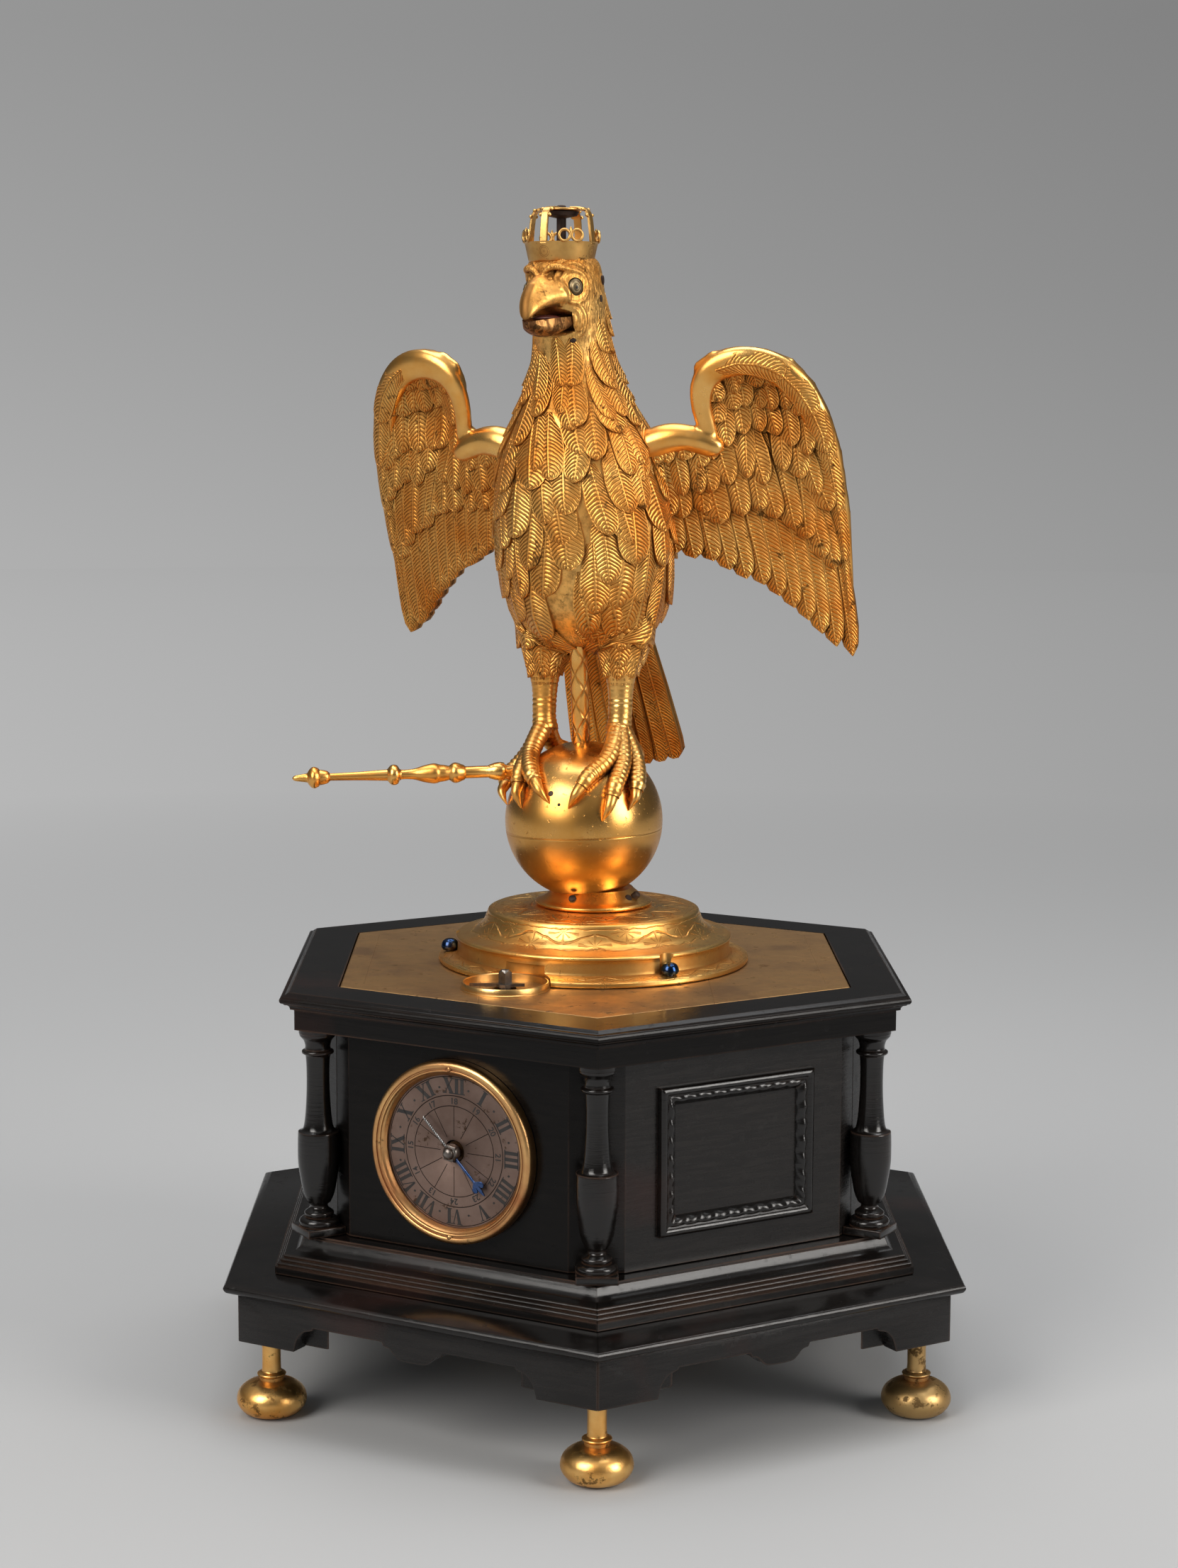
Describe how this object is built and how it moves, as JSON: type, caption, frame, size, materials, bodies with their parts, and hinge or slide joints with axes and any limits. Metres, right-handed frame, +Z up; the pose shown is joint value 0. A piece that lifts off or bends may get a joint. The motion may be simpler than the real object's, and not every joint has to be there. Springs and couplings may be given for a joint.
{
  "type": "automaton_clock",
  "caption": "Table automaton clock: gilt eagle with moving wings, beak and eyes on an orb above a hexagonal ebony case with columns and a clock dial",
  "frame": {"origin": "on the table, under the middle of the hexagonal case", "axes": "+Z up; -Y out of the case corner between the dial side and the panelled side to its right; +X to the right of a viewer who faces that corner"},
  "size_m": [0.2112, 0.2438, 0.3459],
  "materials": {
    "ebony": "satin, polished by hand",
    "gilt_bronze": "fire gilt, worn",
    "worn_brass": "old brass, tarnished",
    "silvered_brass": "silvered, matt",
    "blued_steel": "blued",
    "grey_steel": "filed, grey",
    "bell_metal": "turned bell metal",
    "dark_iron": "dark, rusty"
  },
  "bodies": {
    "case": {"foot_1": "gilt_bronze", "foot_2": "gilt_bronze", "foot_3": "gilt_bronze", "foot_4": "gilt_bronze", "foot_5": "gilt_bronze", "foot_6": "gilt_bronze", "apron_1": "ebony", "apron_2": "ebony", "apron_3": "ebony", "apron_4": "ebony", "apron_5": "ebony", "apron_6": "ebony", "plinth_board": "ebony", "base_moulding": "ebony", "case_wall_dial": "ebony", "case_wall_1": "ebony", "case_wall_2": "ebony", "case_wall_3": "ebony", "case_wall_4": "ebony", "case_wall_5": "ebony", "column_1": "ebony", "column_2": "ebony", "column_3": "ebony", "column_4": "ebony", "column_5": "ebony", "column_6": "ebony", "cornice": "ebony", "top_plate": "worn_brass", "stepped_disc": "gilt_bronze", "disc_screw_1": "blued_steel", "disc_screw_2": "blued_steel", "disc_screw_3": "blued_steel", "collar": "gilt_bronze", "orb": "gilt_bronze", "support_tube": "gilt_bronze", "dial_plate": "silvered_brass", "dial_bezel": "gilt_bronze", "movement_lower_plate": "worn_brass", "movement_upper_plate": "worn_brass", "bell": "bell_metal", "eagle_body": "gilt_bronze", "tail": "gilt_bronze", "crown": "gilt_bronze", "crown_rod": "dark_iron", "sceptre": "gilt_bronze"},
    "hour_work": {"dial_wheel": "worn_brass", "hour_hand": "blued_steel"},
    "setting_arbor": {"setting_pointer": "grey_steel"},
    "barrel": {"mainspring_barrel": "worn_brass"},
    "fusee": {"fusee_with_great_wheel": "worn_brass"},
    "second_arbor": {"second_wheel": "worn_brass"},
    "escape_arbor": {"escape_wheel": "worn_brass"},
    "verge": {"balance": "grey_steel"},
    "hammer": {"bell_hammer": "grey_steel"},
    "rod": {"lifting_rod": "grey_steel"},
    "left_wing": {"wing_left": "gilt_bronze"},
    "right_wing": {"wing_right": "gilt_bronze"},
    "jaw": {"lower_beak": "gilt_bronze"},
    "left_eye": {"eye_left": "grey_steel"},
    "right_eye": {"eye_right": "grey_steel"}
  },
  "joints": [
    {"name": "great_wheel_turn", "type": "hinge", "parent": "case", "child": "fusee", "pos_m": [-0.0339, -0.0288, 0.06], "axis": [0, 0, 1], "continuous": true},
    {"name": "second_turn", "type": "hinge", "parent": "case", "child": "second_arbor", "pos_m": [-0.02842, -0.04923, 0.06], "axis": [0, 0, 1], "continuous": true},
    {"name": "escape_turn", "type": "hinge", "parent": "case", "child": "escape_arbor", "pos_m": [-0.01419, -0.04405, 0.075], "axis": [0, 0, 1], "continuous": true},
    {"name": "hour_turn", "type": "hinge", "parent": "case", "child": "hour_work", "pos_m": [-0.0395, -0.06842, 0.0812], "axis": [-0.5, -0.866, 0], "continuous": true},
    {"name": "barrel_turn", "type": "hinge", "parent": "case", "child": "barrel", "pos_m": [-0.026, 0.016, 0.06], "axis": [0, 0, 1], "continuous": true},
    {"name": "balance_swing", "type": "hinge", "parent": "case", "child": "verge", "pos_m": [-0.01419, -0.04405, 0.0678], "axis": [0.6157, 0.788, 0], "range_deg": [-25, 25]},
    {"name": "setting_turn", "type": "hinge", "parent": "case", "child": "setting_arbor", "pos_m": [-0.02575, -0.0446, 0.1235], "axis": [0, 0, 1], "range_deg": [-150, 150]},
    {"name": "hammer_swing", "type": "hinge", "parent": "case", "child": "hammer", "pos_m": [-0.017, 0.042, 0.031], "axis": [0, 0, 1], "range_deg": [0, 25]},
    {"name": "left_wing_lift", "type": "hinge", "parent": "case", "child": "left_wing", "pos_m": [0.01173, -0.00141, 0.27748], "axis": [-0.4224, -0.9063, -0.0147], "range_deg": [-3, 12]},
    {"name": "right_wing_lift", "type": "hinge", "parent": "case", "child": "right_wing", "pos_m": [-0.01997, 0.01338, 0.27637], "axis": [0.4224, 0.9063, 0.0147], "range_deg": [-3, 12]},
    {"name": "rod_lift", "type": "slide", "parent": "case", "child": "rod", "axis": [-0.0349, 0, 0.9994], "range_m": [-0.001, 0.0037]},
    {"name": "jaw_open", "type": "hinge", "parent": "case", "child": "jaw", "pos_m": [-0.01076, -0.00424, 0.31122], "axis": [0.8475, -0.5299, 0.0296], "range_deg": [-2, 8]},
    {"name": "left_eye_turn", "type": "hinge", "parent": "case", "child": "left_eye", "pos_m": [-0.00659, -0.00872, 0.32127], "axis": [-0.0349, 0, 0.9994], "range_deg": [-18, 18]},
    {"name": "right_eye_turn", "type": "hinge", "parent": "case", "child": "right_eye", "pos_m": [-0.01837, -0.00135, 0.32086], "axis": [-0.0349, 0, 0.9994], "range_deg": [-18, 18]}
  ],
  "couplings": [
    {"joint": "second_turn", "follows": "great_wheel_turn", "ratio": -6},
    {"joint": "escape_turn", "follows": "great_wheel_turn", "ratio": 24},
    {"joint": "hour_turn", "follows": "great_wheel_turn", "ratio": 2},
    {"joint": "barrel_turn", "follows": "great_wheel_turn", "ratio": 0.7},
    {"joint": "right_wing_lift", "follows": "left_wing_lift", "ratio": 1},
    {"joint": "rod_lift", "follows": "left_wing_lift", "m_per_rad": 0.0172},
    {"joint": "right_eye_turn", "follows": "left_eye_turn", "ratio": 1}
  ]
}
